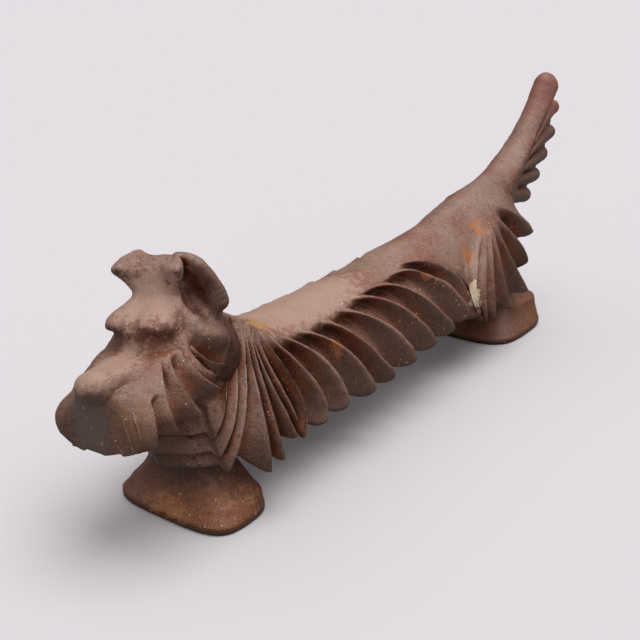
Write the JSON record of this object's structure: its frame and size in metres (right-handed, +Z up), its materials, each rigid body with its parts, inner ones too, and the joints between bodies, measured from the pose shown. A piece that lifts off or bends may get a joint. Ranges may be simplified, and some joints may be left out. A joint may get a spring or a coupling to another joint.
{
  "type": "andiron",
  "caption": "Cast-iron firedog in the form of a long-bodied terrier: a low back carries the logs, the raised tail stops them and two flared feet stand on the hearth.",
  "frame": {"origin": "centre of the front foot's base, on the hearth", "axes": "+Z up; +Y from the nose towards the tail along the length; +X to the dog's left side, across the width, which mirrors about x = 0"},
  "size_m": [0.088, 0.4602, 0.1648],
  "materials": {
    "rusty_iron": "weathered sand-cast iron, mauve-brown with orange rust in the grooves and on the edges",
    "orange_iron": "rough cast iron with an even orange-brown rust",
    "old_steel": "rusted dull wrought-steel fastenings"
  },
  "bodies": {
    "root": {"body_casting": "rusty_iron", "head_casting": "rusty_iron", "front_foot": "orange_iron", "rear_foot": "orange_iron", "head_stud": "old_steel", "head_washer": "old_steel", "head_nut": "old_steel", "front_foot_bolts": "old_steel", "front_foot_washers": "old_steel", "front_foot_nuts": "old_steel", "rear_foot_bolts": "old_steel", "rear_foot_washers": "old_steel", "rear_foot_nuts": "old_steel"}
  },
  "joints": []
}
